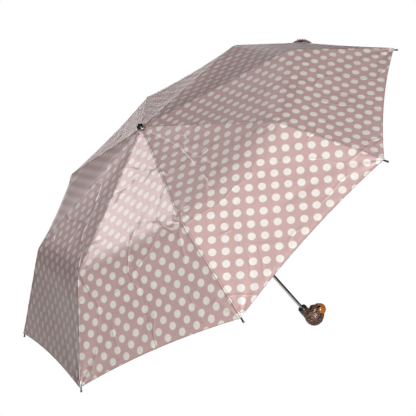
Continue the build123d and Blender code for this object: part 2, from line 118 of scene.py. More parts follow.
class Nodes:
    """A short way to write a material's nodes: each call adds one node and returns its output."""

    def __init__(self, name, base, roughness, metallic=0.0, **sockets):
        self.material = bpy.data.materials.new(name)
        self.material.use_nodes = True
        self.tree = self.material.node_tree
        self.shader = self.tree.nodes["Principled BSDF"]
        self.shader.inputs["Base Color"].default_value = (*base, 1)
        self.shader.inputs["Roughness"].default_value = roughness
        self.shader.inputs["Metallic"].default_value = metallic
        for socket, value in sockets.items():
            self.shader.inputs[socket.replace("_", " ")].default_value = value

    def add(self, kind, output=0, values=(), **settings):
        node = self.tree.nodes.new("ShaderNode" + kind)
        for key, value in settings.items():
            setattr(node, key, value)
        for socket, value in dict(values).items():
            if isinstance(value, bpy.types.NodeSocket):
                self.tree.links.new(value, node.inputs[socket])
            else:
                node.inputs[socket].default_value = value
        return node.outputs[output]

    def math(self, operation, a, b=0.0, c=0.0):
        return self.add("Math", 0, {0: a, 1: b, 2: c}, operation=operation)

    def mix(self, factor, a, b):
        return self.add("Mix", 2, {0: factor, 6: a, 7: b}, data_type="RGBA")

    def ramp(self, value, low, high):
        return self.add("MapRange", 0, {"Value": value, "From Min": low, "From Max": high})

    def noise(self, scale, detail=3.0, vector=None, distortion=0.0):
        values = {"Scale": scale, "Detail": detail, "Distortion": distortion}
        if vector is not None:
            values["Vector"] = vector
        return self.add("TexNoise", 0, values)

    def object_point(self):
        return self.add("TexCoord", 3)

    def attribute(self, name):
        return self.add("Attribute", 2, attribute_name=name)

    def to(self, socket, value):
        self.tree.links.new(value, self.shader.inputs[socket])

    def bump(self, height, distance, strength=1.0):
        self.to("Normal", self.add("Bump", 0, {"Height": height, "Distance": distance, "Strength": strength}))


def rgb(*srgb):
    """Linear colour from 0 to 255 display values."""
    return tuple((v / 255 / 12.92) if v <= 10 else ((v / 255 + 0.055) / 1.055) ** 2.4 for v in srgb)


def carving_material():
    n = Nodes("carved_resin", rgb(52, 36, 30), 0.34, Coat_Weight=0.25, Coat_Roughness=0.2)
    point = n.object_point()
    # bronze on the scales' raised lips, in patches: partly the resin's rubbed-in bronze, partly a painted
    # highlight where light catches the lips
    edge = n.ramp(n.attribute("relief"), 0.4, 0.95)
    patch = n.ramp(n.noise(80, 3, point), 0.42, 0.58)
    bronze_and_painted_highlight = n.math("MULTIPLY", edge, n.math("MULTIPLY_ADD", patch, 0.85, 0.15))
    dark = n.mix(n.ramp(n.noise(160, 2, point), 0.35, 0.7), (*rgb(28, 20, 18), 1), (*rgb(92, 62, 48), 1))
    neck_end = n.ramp(n.add("SeparateXYZ", 2, {0: point}), -5 * MM, -1 * MM)
    dark = n.mix(neck_end, dark, (*rgb(14, 13, 14), 1))
    bronze = n.mix(n.ramp(n.noise(300, 2, point), 0.4, 0.65), (*rgb(176, 94, 36), 1), (*rgb(222, 160, 118), 1))
    n.to("Base Color", n.mix(bronze_and_painted_highlight, dark, bronze))
    n.to("Roughness", n.math("MULTIPLY_ADD", n.noise(220, 3, point), 0.3, 0.22))
    n.bump(n.noise(900, 4, point), 0.12 * MM, 0.5)
    return n.material


def ball(centre, radii, segments=48):
    """A closed ellipsoid as a bmesh, its poles along Z."""
    shape = bmesh.new()
    bmesh.ops.create_uvsphere(shape, u_segments=segments, v_segments=segments // 2, radius=1)
    bmesh.ops.scale(shape, vec=radii, verts=shape.verts)
    bmesh.ops.translate(shape, vec=centre, verts=shape.verts)
    return shape


def stem(foot, top, low_radius, high_radius, segments=48):
    """A closed round stem between two heights on the shaft's axis."""
    shape = bmesh.new()
    bmesh.ops.create_cone(shape, cap_ends=True, segments=segments, radius1=low_radius, radius2=high_radius,
                          depth=top - foot)
    bmesh.ops.translate(shape, vec=(0, 0, (top + foot) / 2), verts=shape.verts)
    return shape


def melted(name, shapes, voxel, smooth):
    """Several closed shapes run together into one smooth skin."""
    mesh = bpy.data.meshes.new(name)
    whole = bmesh.new()
    for shape in shapes:
        part = bpy.data.meshes.new("part")
        shape.to_mesh(part)
        whole.from_mesh(part)
        shape.free()
        bpy.data.meshes.remove(part)
    whole.to_mesh(mesh)
    whole.free()
    blank = bpy.data.objects.new(name, mesh)
    bpy.context.scene.collection.objects.link(blank)
    remesh = blank.modifiers.new("skin", "REMESH")
    remesh.mode, remesh.voxel_size = "VOXEL", voxel
    soften = blank.modifiers.new("soften", "SMOOTH")
    soften.factor, soften.iterations = 0.5, smooth
    skin = applied(blank)
    bpy.data.objects.remove(blank)
    return skin


def scale_relief(along, around, girth, row_length=6.4 * MM, scale_width=7.4 * MM):
    """Height from 0 to 1 of overlapping scales, and how near the point is to a scale's raised lip."""
    count = max(3, round(girth / scale_width))
    row = along / row_length
    best, lip = 0.0, 0.0
    for step in (0, 1):
        number = int(np.floor(row)) - step
        across = around / (2 * pi) * count + 0.5 * (number % 2)
        side = 2 * (across - np.floor(across)) - 1
        down = row - number
        tip = scale_length * sqrt(max(0.0, 1 - 0.8 * side * side))
        if down < tip:
            height = 0.25 + 0.75 * down / scale_length
            if height > best:
                best = height
                lip = max(0.0, 1 - (tip - down) * 3.2)
    return best, lip


neck = stem(head_centre.z, 0, neck_radius * 1.05, neck_radius * 0.96)
head = ball(head_centre, head_radii)
cheek = ball(head_centre + Vector((8, 0, -5)) * MM, Vector((13, 14.5, 12)) * MM)
brow = ball(Vector((17, 0, -24)) * MM, Vector((10, 11, 9.5)) * MM)
carving = melted("handle_carving", [neck, head, cheek, brow], carving_voxel, 9)
relief = []
for vertex in carving.vertices:
    point = vertex.co
    axis_x = head_lean * min(1.0, max(0.0, -point.z / abs(head_centre.z)))
    radius = sqrt((point.x - axis_x) ** 2 + point.y**2)
    around = atan2(point.y, point.x - axis_x) % (2 * pi)
    beyond = max(0.0, -point.z - chin_depth)
    height, lip = scale_relief(-point.z + 1.5 * beyond, around, 2 * pi * max(radius, 6 * MM))
    fade = min(1.0, max(0.0, (-point.z - 0.6 * MM) / (3 * MM)))
    wander = 0.5 + 0.5 * noise.noise(point * 140)
    vertex.co = point + vertex.normal * fade * (1.7 * height - 1.0 + 0.5 * wander) * MM
    relief.append(fade * (0.35 * height + 0.65 * lip))
carving.attributes.new("relief", "FLOAT", "POINT").data.foreach_set("value", relief)
carving.transform(Matrix.Rotation(bill_azimuth, 4, "Z"))
shade_smooth(carving)
resin = carving_material()
handle_carving = add_piece("handle_carving", carving, "handle", resin, ["handle_head"])

# ---- bill ----
# One smooth amber dome of polished resin, set into the front of the head, with a shallow waist where
# the two halves of the bill meet. It is glued in.
bill_centre = Vector((27.0, 0, -35.0)) * MM
bill_radii = Vector((13.4, 12.8, 13.4)) * MM

n = Nodes("amber_resin", rgb(150, 80, 8), 0.24, Coat_Weight=0.25, Coat_Roughness=0.08)
point = n.object_point()
cloud = n.ramp(n.noise(90, 3, point, 0.6), 0.3, 0.75)
n.to("Base Color", n.mix(cloud, (*rgb(136, 68, 4), 1), (*rgb(168, 92, 8), 1)))
n.to("Roughness", n.math("MULTIPLY_ADD", n.noise(60, 2, point), 0.12, 0.18))
n.bump(n.noise(260, 3, point), 0.05 * MM, 0.35)
amber = n.material

bill = bpy.data.meshes.new("bill_dome")
shape = ball(bill_centre, bill_radii, 96)
for vertex in shape.verts:
    out = vertex.co - bill_centre
    reach = max(0.0, out.x / bill_radii.x)
    waist = np.exp(-(((out.z + 4.2 * MM) / (1.1 * MM)) ** 2)) * reach
    vertex.co -= out.normalized() * 0.55 * MM * waist
    vertex.co.y *= 1 - 0.10 * reach
shape.to_mesh(bill)
shape.free()
bill.transform(Matrix.Rotation(bill_azimuth, 4, "Z"))
shade_smooth(bill)
bill_dome = add_piece("bill_dome", bill, "handle", amber, ["handle_bill"])

# ---- eyes ----
# Two black glass domes in thin pale lids, one each side of the bill. Each is glued in a drilled seat.
eye_point = Vector((28.5, 0, -35.0)) * MM
eye_radius, eye_rim, eye_upturn = 4.2 * MM, 12.3 * MM, radians(54)
eye_depth, eye_rise = 3 * MM, 2.4 * MM  # below the rim, and of the dome above it

n = Nodes("eye_glass", rgb(10, 9, 10), 0.04, Coat_Weight=1.0, Coat_Roughness=0.02)
point = n.object_point()
n.to("Base Color", n.mix(n.ramp(n.noise(900, 2, point), 0.4, 0.7), (*rgb(6, 6, 8), 1), (*rgb(20, 16, 15), 1)))
eye_black = n.material
n = Nodes("lid_enamel", rgb(150, 108, 70), 0.3, Coat_Weight=0.2)
point = n.object_point()
n.to("Base Color", n.mix(n.noise(500, 3, point), (*rgb(112, 76, 40), 1), (*rgb(196, 160, 122), 1)))
n.bump(n.noise(1500, 2, point), 0.04 * MM, 0.4)
lid_pale = n.material


def lathe(name, outline, segments=64):
    """A closed turned mesh about Z from (radius, height) points that start and end on the axis."""
    shape = bmesh.new()
    rings = []
    for radius, height in outline:
        if radius == 0:
            rings.append([shape.verts.new((0, 0, height))])
        else:
            rings.append([shape.verts.new((radius * cos(2 * pi * i / segments),
                                           radius * sin(2 * pi * i / segments), height))
                          for i in range(segments)])
    for low, high in zip(rings, rings[1:]):
        for i in range(segments):
            j = (i + 1) % segments
            corners = [low[i % len(low)], low[j % len(low)], high[j % len(high)], high[i % len(high)]]
            face = list(dict.fromkeys(corners))
            if len(face) > 2:
                shape.faces.new(face)
    bmesh.ops.recalc_face_normals(shape, faces=shape.faces)
    mesh = bpy.data.meshes.new(name)
    shape.to_mesh(mesh)
    shape.free()
    shade_smooth(mesh)
    return mesh


def ring(name, radius, height, wire, segments=64, sides=16):
    """A closed torus about Z, of a round wire with a number of sides."""
    loop = [(radius + wire * cos(radians(360 * i / sides)), height + wire * sin(radians(360 * i / sides)))
            for i in range(sides)]
    shape = bmesh.new()
    rings = [[shape.verts.new((r * cos(2 * pi * i / segments), r * sin(2 * pi * i / segments), z))
              for i in range(segments)] for r, z in loop]
    for low, high in zip(rings, rings[1:] + rings[:1]):
        for i in range(segments):
            j = (i + 1) % segments
            shape.faces.new([low[i], low[j], high[j], high[i]])
    bmesh.ops.recalc_face_normals(shape, faces=shape.faces)
    mesh = bpy.data.meshes.new(name)
    shape.to_mesh(mesh)
    shape.free()
    shade_smooth(mesh)
    return mesh


for side, word in ((-1, "right"), (1, "left")):
    placed = (Matrix.Rotation(bill_azimuth, 4, "Z") @ Matrix.Translation(eye_point)
              @ Matrix.Rotation(-side * (pi / 2 - eye_upturn), 4, "X"))
    stem_outline = [(0, eye_rim - eye_depth), (eye_radius, eye_rim - eye_depth), (eye_radius, eye_rim)]
    dome_outline = [(eye_radius * cos(a), eye_rim + eye_rise * sin(a)) for a in np.linspace(0.1, 1.45, 14)]
    dome = lathe(f"eye_{word}", stem_outline + dome_outline + [(0, eye_rim + eye_rise)])
    dome.transform(placed)
    eye = add_piece(f"eye_{word}", dome, "handle", eye_black, [f"handle_eye_{word}"])
    lid = ring(f"lid_{word}", eye_radius + 0.2 * MM, eye_rim + 0.1 * MM, 0.5 * MM)
    lid.transform(placed)
    lid_piece = add_piece(f"lid_{word}", lid, "handle", lid_pale)

# ---- shaft tubes ----
# Three plated steel tubes, each sliding in the next. They are drawn, swaged at one end to guide the
# tube inside, and polished, so they show fine lines along their length.
n = Nodes("polished_tube", rgb(196, 190, 184), 0.17, metallic=1.0)
point = n.add("Mapping", 0, {"Vector": n.object_point(), "Scale": (1.0, 1.0, 0.02)})
n.to("Base Color", n.mix(n.noise(900, 2, point), (*rgb(178, 172, 166), 1), (*rgb(208, 203, 198), 1)))
n.to("Roughness", n.math("MULTIPLY_ADD", n.noise(2600, 3, point), 0.16, 0.1))
n.bump(n.noise(3000, 2, point), 0.01 * MM, 0.25)
tube_steel = n.material


def finish_nodes(material, *names):
    """Give frame nodes a material in place of the one that they came with."""
    for name in names:
        node = frame["nodes"][name]
        node.data.materials.clear()
        node.data.materials.append(material)


finish_nodes(tube_steel, "shaft_lower", "shaft_middle", "shaft_upper")

# ---- bushes, crown and runner ----
# Moulded black nylon: two bushes that guide the tubes, the slotted crown that holds the ribs and the
# runner that spreads the stretchers. The skin is a fine spark-eroded grain.
n = Nodes("black_nylon", rgb(28, 27, 28), 0.5)
point = n.object_point()
n.to("Base Color", n.mix(n.noise(400, 3, point), (*rgb(22, 21, 22), 1), (*rgb(38, 36, 36), 1)))
n.to("Roughness", n.math("MULTIPLY_ADD", n.noise(1200, 3, point), 0.25, 0.35))
n.bump(n.noise(2400, 3, point), 0.05 * MM, 0.4)
nylon = n.material
finish_nodes(nylon, "bush_lower", "bush_middle", "crown", "runner")

# ---- ribs, stretchers and wire ----
# Steel strip and wire in black lacquer. The channels are rolled, their ends pressed flat and riveted.
n = Nodes("black_lacquer", rgb(30, 28, 29), 0.32, metallic=0.35, Coat_Weight=0.2)
point = n.object_point()
worn = n.ramp(n.noise(240, 4, point, 0.4), 0.62, 0.74)
n.to("Base Color", n.mix(worn, (*rgb(30, 28, 29), 1), (*rgb(92, 84, 80), 1)))
n.to("Roughness", n.math("MULTIPLY_ADD", n.noise(500, 3, point), 0.25, 0.22))
n.bump(n.noise(1500, 2, point), 0.03 * MM, 0.3)
lacquer = n.material
n = Nodes("rib_tip_metal", rgb(74, 66, 64), 0.3, metallic=0.8)
point = n.object_point()
n.to("Base Color", n.mix(n.noise(300, 3, point), (*rgb(54, 48, 47), 1), (*rgb(116, 106, 100), 1)))
n.to("Roughness", n.math("MULTIPLY_ADD", n.noise(900, 2, point), 0.2, 0.22))
tip_metal = n.material
rib_numbers = range(1, 9)
for kind in ("inner_rib", "middle_rib", "stretcher"):
    finish_nodes(lacquer, *[f"{kind}_{k}" for k in rib_numbers])
finish_nodes(tip_metal, *[f"outer_rib_{k}" for k in rib_numbers])
finish_nodes(lacquer, "crown_wire", "runner_catch")

# ---- canopy ----
# Eight gores of satin polyester with woven off-white dots, sewn edge to edge along the ribs with a
# felled seam and hemmed in a shallow arc. The cloth is stretched over the ribs from a hole at the top.
inner_slope, outer_slope = radians(11.36), radians(39.77)
cloth_thickness = 0.32 * MM
cloth_hole = 5.6 * MM
knuckle_rise = 5.45 * MM  # second knuckle to the cloth, square to the cloth
peak_reach = 18 * MM  # where the top wedges end and the cloth of the inner ribs starts
hem_sag = 9.94 * MM
bend_at_rib, bend_at_middle = 12 * MM, 42 * MM
half_gore = pi / 8
hollows = 9  # soft dents in each gore, left from folding
second_fold = 52 * MM  # a pressed fold across the gore, below the knee


def rib_angle(rib):
    return (rib - 1) * 2 * half_gore


def joint_point(name):
    return Vector(next(j for j in frame["joints"] if j["name"] == name)["pos_m"])


knuckle = joint_point("outer_rib_1_hinge")
first_knuckle = joint_point("middle_rib_1_hinge")
lean = (inner_slope + outer_slope) / 2
rise = knuckle_rise / cos((outer_slope - inner_slope) / 2)
knee = (knuckle.x + rise * sin(lean), knuckle.z + rise * cos(lean))
knee_run = knee[0] / cos(inner_slope)
first_run = (first_knuckle.x + 2 * MM * sin(inner_slope)) / cos(inner_slope)
hem_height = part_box("canopy_gore_1")[0].z + 0.5 * MM * cos(outer_slope)
hem_run = knee_run + (knee[1] - hem_height) / sin(outer_slope)
lay_inner = sqrt(sin(inner_slope) ** 2 + (cos(inner_slope) * cos(half_gore)) ** 2)
lay_outer = sqrt(sin(outer_slope) ** 2 + (cos(outer_slope) * cos(half_gore)) ** 2)


def smooth(x):
    x = np.clip(x, 0, 1)
    return x * x * (3 - 2 * x)


def bend(past, reach):
    """How far past the knee a run has turned, with a round of a given reach."""
    return np.where(past < -reach, 0.0, np.where(past > reach, past, (past + reach) ** 2 / (4 * reach)))


def half_width(run):
    """Half the gore's width at a run down the rib."""
    past = np.maximum(run - knee_run, 0)
    return (np.minimum(run, knee_run) * cos(inner_slope) + past * cos(outer_slope)) * sin(half_gore)


def lay_flat(run):
    """How far down the gore's middle line the flat cloth is at a run down the rib."""
    return np.minimum(run, knee_run) * lay_inner + np.maximum(run - knee_run, 0) * lay_outer


def crease(distance, width, depth):
    """A pressed fold: a soft V of a given width and depth."""
    return -depth * np.exp(-np.abs(distance) / width)


def cloth_relief(gore, across, down, edge, run, share):
    """Height of the cloth over its taut shape, metres: fold lines, pulls from the corners, puckers."""
    rng = np.random.default_rng(40 + gore)
    side = np.sign(0.5 - share)
    height = crease(across, 2.2 * MM, 0.5 * MM) * smooth(down / 0.08)
    height += crease(down - first_run * lay_inner, 3 * MM, 0.35 * MM)
    height += crease(down - lay_flat(knee_run) - second_fold, 3 * MM, 0.25 * MM) * smooth(edge / 0.02)
    # soft hollows left from folding
    for _ in range(hollows):
        x0, y0 = rng.uniform(-0.12, 0.12), rng.uniform(0.12, 0.46)
        angle = rng.uniform(-0.9, 0.9) + pi / 4 * rng.choice([-1, 1])
        length, width = rng.uniform(0.03, 0.09), 0.008
        u = (across - x0) * cos(angle) + (down - y0) * sin(angle)
        v = -(across - x0) * sin(angle) + (down - y0) * cos(angle)
        height += rng.uniform(-1.0, 1.0) * MM * np.exp(-((u / length) ** 2) - ((v / width) ** 2))
    # pulls that fan out from the hem corners and the knees
    for at_run, reach, depth in ((hem_run, 0.085, 0.9 * MM), (knee_run, 0.05, 0.5 * MM)):
        dx, dy = edge, down - lay_flat(at_run)
        away = np.sqrt(dx**2 + dy**2)
        fan = np.arctan2(dy, dx)
        height += depth * np.sin(fan * 9 + gore * 2.1 + side) * smooth(away / 0.012) * np.exp(-away / reach)
    # stitch puckers along the seam
    height += 0.2 * MM * np.sin(run / (2.6 * MM) + gore) * np.exp(-((edge / (6 * MM)) ** 2)) * smooth(edge / MM)
    return height


def cloth_points(gore, run, share):
    """Points of a gore's outer face. run goes down the ribs, share across from its first rib to its next."""
    run, share = np.broadcast_arrays(np.asarray(run, float), np.asarray(share, float))
    middle = 4 * share * (1 - share)
    reach = bend_at_rib + (bend_at_middle - bend_at_rib) * middle**0.7
    past = bend(run - knee_run, reach)
    radius = run * cos(inner_slope) + past * (cos(outer_slope) - cos(inner_slope))
    apex = knee[1] + knee[0] * tan(inner_slope)
    height = apex - run * sin(inner_slope) - past * (sin(outer_slope) - sin(inner_slope))
    first, second = (gore - 1) * 2 * half_gore, gore * 2 * half_gore
    ends = [np.stack([radius * cos(a), radius * sin(a), height], -1) for a in (first, second)]
    point = ends[0] * (1 - share)[..., None] + ends[1] * share[..., None]
    turned = smooth((run - knee_run + reach) / (2 * reach))[..., None]
    centre = (first + second) / 2
    tilt = [np.arctan(np.tan(s) / cos(half_gore)) for s in (inner_slope, outer_slope)]
    faces = [np.array([sin(s) * cos(centre), sin(s) * sin(centre), cos(s)]) for s in tilt]
    normal = faces[0] * (1 - turned) + faces[1] * turned
    normal /= np.linalg.norm(normal, axis=-1, keepdims=True)
    width = half_width(run)
    edge = np.minimum(share, 1 - share) * 2 * width
    slack = (2.2 * MM * smooth(run / 0.15) * (1 - smooth((run - knee_run + 0.06) / 0.1))
             + 3.2 * MM * np.sin(pi * np.clip((run - knee_run) / (hem_run - knee_run), 0, 1)))
    lift = -slack * middle + cloth_relief(gore, (share - 0.5) * 2 * width, lay_flat(run), edge, run, share)
    # the felled seam stands up on one side of each rib, and the hem is turned over
    welt = smooth((edge - 0.3 * MM) / (0.5 * MM)) * (1 - smooth((edge - 3.2 * MM) / (0.5 * MM)))
    lift = lift + 0.6 * MM * welt * (share < 0.5) * smooth((run - 8 * MM) / (12 * MM))
    hem_gap = hem_run - hem_sag * middle - run
    lift = lift + 0.3 * MM * (1 - smooth((hem_gap - 7.4 * MM) / (0.7 * MM)))
    lift = lift - 0.12 * MM * np.exp(-(((hem_gap - 6.2 * MM) / (0.5 * MM)) ** 2))
    return point + normal * lift[..., None], normal


def cloth_normals(gore, run, share):
    """The outer face's normals, the same on both sides of every join between pieces."""
    step, turn = 0.4 * MM, 0.4 * MM / np.maximum(2 * half_width(run), 4 * MM)
    low, high = np.maximum(share - turn, 0), np.minimum(share + turn, 1)
    down = cloth_points(gore, run + step, share)[0] - cloth_points(gore, run - step, share)[0]
    across = cloth_points(gore, run, high)[0] - cloth_points(gore, run, low)[0]
    normal = np.cross(down, across)
    return normal / np.maximum(np.linalg.norm(normal, axis=-1, keepdims=True), 1e-12)


def spread_rows(start, finish, step):
    return np.linspace(start, finish, max(2, int(round((finish - start) / step)) + 1))


def seam_columns(run, half, count):
    """Distances from the rib to the gore's middle: close by the seam, even beyond it."""
    near = np.array([0, 0.4, 0.9, 2.0, 3.0, 3.8, 5.0]) * MM
    scale = np.minimum(1.0, half / (14 * MM))
    near = near[None, :] * scale[:, None]
    far = near[:, -1:] + (half[:, None] - near[:, -1:]) * np.linspace(0, 1, count + 1)[None, 1:]
    return np.concatenate([near, far], axis=1)


def cloth_mesh(name, parts):
    """A thin closed sheet from grids laid side by side, each a gore with its runs and shares."""
    points, faces, normals, layers = [], [], [], []
    for gore, run, share in parts:
        top, out = cloth_points(gore, run, share)
        points.append(top)
        faces.append(out)
        normals.append(cloth_normals(gore, run, share))
        width = 2 * half_width(run)
        hem_gap = hem_run - hem_sag * 4 * share * (1 - share) - run
        seam_gap = np.where(share < 0.5, share, share - 1) * width
        layers.append(np.stack([(share - 0.5) * width, lay_flat(run), hem_gap, seam_gap], -1))
    top, out, normal, layer = (np.concatenate(values, axis=1) for values in (points, faces, normals, layers))
    rows, columns = top.shape[:2]
    count = rows * columns
    index = np.arange(count).reshape(rows, columns)
    quads = np.stack([index[:-1, :-1], index[1:, :-1], index[1:, 1:], index[:-1, 1:]], -1).reshape(-1, 4)
    rim = list(index[0, :]) + list(index[1:, -1]) + list(index[-1, -2::-1]) + list(index[-2:0:-1, 0])
    if np.cross(top[1, 0] - top[0, 0], top[0, 1] - top[0, 0])[2] < 0:
        quads, rim = quads[:, ::-1], rim[::-1]
    walls = [(rim[i], rim[i - 1], rim[i - 1] + count, rim[i] + count) for i in range(len(rim))]
    mesh = bpy.data.meshes.new(name)
    both = np.concatenate([top.reshape(-1, 3), (top - out * cloth_thickness).reshape(-1, 3)])
    mesh.from_pydata(both.tolist(), [], quads.tolist() + (quads[:, ::-1] + count).tolist() + walls)
    shade_smooth(mesh)
    loops = np.zeros(len(mesh.loops), np.int32)
    mesh.loops.foreach_get("vertex_index", loops)
    layer = layer.reshape(-1, 4)
    mesh.uv_layers.new(name="cloth").data.foreach_set("uv", layer[loops % count, :2].reshape(-1))
    for word, values in (("hem_gap", layer[:, 2]), ("seam_gap", layer[:, 3])):
        mesh.attributes.new(word, "FLOAT", "POINT").data.foreach_set("value", np.concatenate([values, values]))
    normal = normal.reshape(-1, 3)
    mesh.normals_split_custom_set_from_vertices(np.concatenate([normal, -normal]).tolist())
    return mesh


def cloth_material():
    n = Nodes("dotted_satin", rgb(182, 152, 150), 0.40, Specular_IOR_Level=0.85)
    flat = n.add("UVMap", 0, uv_map="cloth")
    x = n.add("SeparateXYZ", 0, {0: flat})
    y = x.node.outputs[1]
    point = n.object_point()
    # off-white dots on a square lattice that stands on its corner
    pitch, dot = 22.7 * MM, 7.0 * MM
    half_turn = sqrt(0.5)
    u = n.math("MULTIPLY", n.math("ADD", x, y), half_turn / pitch)
    v = n.math("MULTIPLY", n.math("SUBTRACT", y, x), half_turn / pitch)
    off = [n.math("SUBTRACT", n.math("FRACT", n.math("ADD", w, 0.5)), 0.5) for w in (u, v)]
    squares = [n.math("MULTIPLY", w, w) for w in off]
    away = n.math("SQRT", n.math("ADD", *squares))
    dots = n.ramp(away, (dot + 0.35 * MM) / pitch, (dot - 0.35 * MM) / pitch)
    # warp and weft threads, with slubs
    warp = n.add("Mapping", 0, {"Vector": flat, "Scale": (2600.0, 60.0, 1.0)})
    weft = n.add("Mapping", 0, {"Vector": flat, "Scale": (60.0, 2600.0, 1.0)})
    threads = n.math("ADD", n.noise(1.0, 2, warp), n.noise(1.0, 2, weft))
    shade = n.ramp(n.noise(14, 3, point, 0.3), 0.3, 0.7)
    ground = n.mix(shade, (*rgb(173, 141, 140), 1), (*rgb(184, 152, 150), 1))
    ground = n.mix(n.ramp(threads, 0.75, 1.25), ground, (*rgb(190, 159, 157), 1))
    white = n.mix(n.ramp(threads, 0.75, 1.25), (*rgb(208, 200, 195), 1), (*rgb(222, 215, 211), 1))
    colour = n.mix(dots, ground, white)
    # darker threads of the hem's fold and the gap between the gores, and a dark line beside the welt: the
    # seam's stitches with a painted shadow of the raised welt
    dark = (*rgb(112, 84, 83), 1)
    hem = n.ramp(n.attribute("hem_gap"), 1.6 * MM, 0.9 * MM)
    colour = n.mix(n.math("MULTIPLY", hem, 0.5), colour, dark)
    seam = n.attribute("seam_gap")
    gap = n.ramp(n.math("ABSOLUTE", seam), 0.9 * MM, 0.3 * MM)
    # the line just past the welt's edge: stitches, darkened as a painted shadow of the welt
    stitches_and_welt_shadow = n.ramp(n.math("ABSOLUTE", n.math("SUBTRACT", seam, 4.1 * MM)), 0.9 * MM, 0.3 * MM)
    colour = n.mix(n.math("MULTIPLY", n.math("MAXIMUM", gap, stitches_and_welt_shadow), 0.5), colour, dark)
    n.to("Base Color", colour)
    n.to("Roughness", n.math("MULTIPLY_ADD", n.noise(300, 2, point), 0.12, 0.34))
    # sharp creases where the cloth was folded away, over the weave
    bent = n.add("Mix", 1, {0: 0.06, 4: point, 5: n.add("TexNoise", 1, {"Vector": point, "Scale": 9.0})},
                 data_type="VECTOR")
    creases = n.add("TexVoronoi", 0, {"Vector": bent, "Scale": 11.0}, feature="DISTANCE_TO_EDGE")
    some = n.ramp(n.noise(8, 2, point), 0.43, 0.53)
    folds = n.math("MULTIPLY", n.ramp(creases, 0.035, 0.0), some)
    height = n.math("ADD", n.math("MULTIPLY", folds, 0.6), n.math("MULTIPLY", threads, 0.012))
    n.bump(height, 1 * MM, 1.0)
    return n.material


satin = cloth_material()
rib_along = {"inner": (cos(inner_slope), -sin(inner_slope)), "outer": (cos(outer_slope), -sin(outer_slope))}
rib_along["middle"] = rib_along["inner"]
grid_step = 3.6 * MM
lengths_of_cloth = {"inner": (peak_reach, first_run), "middle": (first_run, knee_run),
                    "outer": (knee_run, hem_run)}


for rib in rib_numbers:
    for side in (1, -1):
        gore = rib if side > 0 else (rib - 2) % 8 + 1
        for segment, (start, finish) in lengths_of_cloth.items():
            run = spread_rows(start, finish, grid_step)
            widths = half_width(run)
            distance = seam_columns(run, widths, int(round(widths.max() / grid_step)))
            share = distance / (2 * widths[:, None])
            if side < 0:
                share = 1 - share
            runs = np.broadcast_to(run[:, None], share.shape)
            if segment == "outer":
                fraction = (runs - start) / (finish - start)
                runs = start + fraction * (finish - hem_sag * 4 * share * (1 - share) - start)
            word = "a" if side > 0 else "b"
            name = f"canopy_{segment}_{rib}{word}"
            mesh = cloth_mesh(name, [(gore, runs, share)])
            piece = add_piece(name, mesh, f"{segment}_rib_{rib}", satin,
                              [f"canopy_gore_{rib}"] if segment == "inner" and side > 0 else ())
            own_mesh(piece)


def both_sides(rib, run, reach, step):
    """Grids of the cloth on both sides of a rib, from its seam out to a reach."""
    first = (rib - 2) % 8 + 1
    distance = np.concatenate([[0.15 * MM, 1 * MM, 3.2 * MM, 4 * MM], np.arange(4 * MM + step, 1, step)])
    distance = distance[distance < reach.min() * 0.98]
    share = np.concatenate([np.broadcast_to(distance, (len(run), len(distance))), reach[:, None]], axis=1)
    share = share / (2 * half_width(run)[:, None])
    runs = np.broadcast_to(run[:, None], share.shape)
    return [(first, runs, 1 - share[:, ::-1]), (rib, runs, share)]


# the wedges at the top, over each rib's seam from the cloth's hole to where the inner ribs' cloth starts, stand
# where they are on no body
for rib in rib_numbers:
    angle = rib_angle(rib)
    run = spread_rows(cloth_hole, peak_reach, 1.2 * MM)
    name = f"canopy_top_{rib}"
    mesh = cloth_mesh(name, both_sides(rib, run, half_width(run), 1.6 * MM))
    piece = add_piece(name, mesh, None, satin)
    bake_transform(piece)

# a patch under the seam at each knee bridges the cloth there
patch_reach, patch_half, patch_drop = 10 * MM, 9 * MM, 0.45 * MM
for rib in rib_numbers:
    angle = rib_angle(rib)
    run = spread_rows(knee_run - patch_reach, knee_run + patch_reach, 1.25 * MM)
    name = f"knee_patch_{rib}"
    mesh = cloth_mesh(name, both_sides(rib, run, np.full(len(run), patch_half), 2 * MM))
    lean_out = Vector((sin(lean) * cos(angle), sin(lean) * sin(angle), cos(lean)))
    mesh.transform(Matrix.Translation(-lean_out * patch_drop))
    piece = add_piece(name, mesh, None, satin)
    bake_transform(piece)

# ---- tie strap and stud ----
# A brown band of satin ruffled on elastic, sewn over one hem corner. It wraps the folded umbrella and
# closes with a plated press stud.
strap_rib = 2
strap_length, strap_width, strap_height = 80 * MM, 14 * MM, 9.5 * MM
corner = Vector((knee[0] + (hem_run - knee_run) * cos(outer_slope), 0, hem_height))
strap_out = Vector((sin(outer_slope), 0, cos(outer_slope)))
strap_down = Vector((cos(outer_slope), 0, -sin(outer_slope)))
strap_origin = corner + strap_down * 3 * MM  # its middle, beyond the hem corner
rib_turn = Matrix.Rotation(rib_angle(strap_rib), 3, "Z")

n = Nodes("ruffled_satin", rgb(120, 84, 70), 0.42, Sheen_Weight=0.2)
point = n.object_point()
tone = n.ramp(n.noise(170, 3, point, 0.5), 0.35, 0.65)
colour = n.mix(tone, (*rgb(92, 62, 50), 1), (*rgb(198, 156, 138), 1))
# painted shade: the band is darker in the troughs between its pleats
n.to("Base Color", n.mix(n.ramp(n.attribute("pleat_shade_mask"), 0.4, 0.0), colour, (*rgb(52, 34, 28), 1)))
n.to("Roughness", n.math("MULTIPLY_ADD", n.noise(300, 2, point), 0.15, 0.36))
n.bump(n.noise(1600, 2, point), 0.05 * MM, 0.4)
brown_satin = n.material


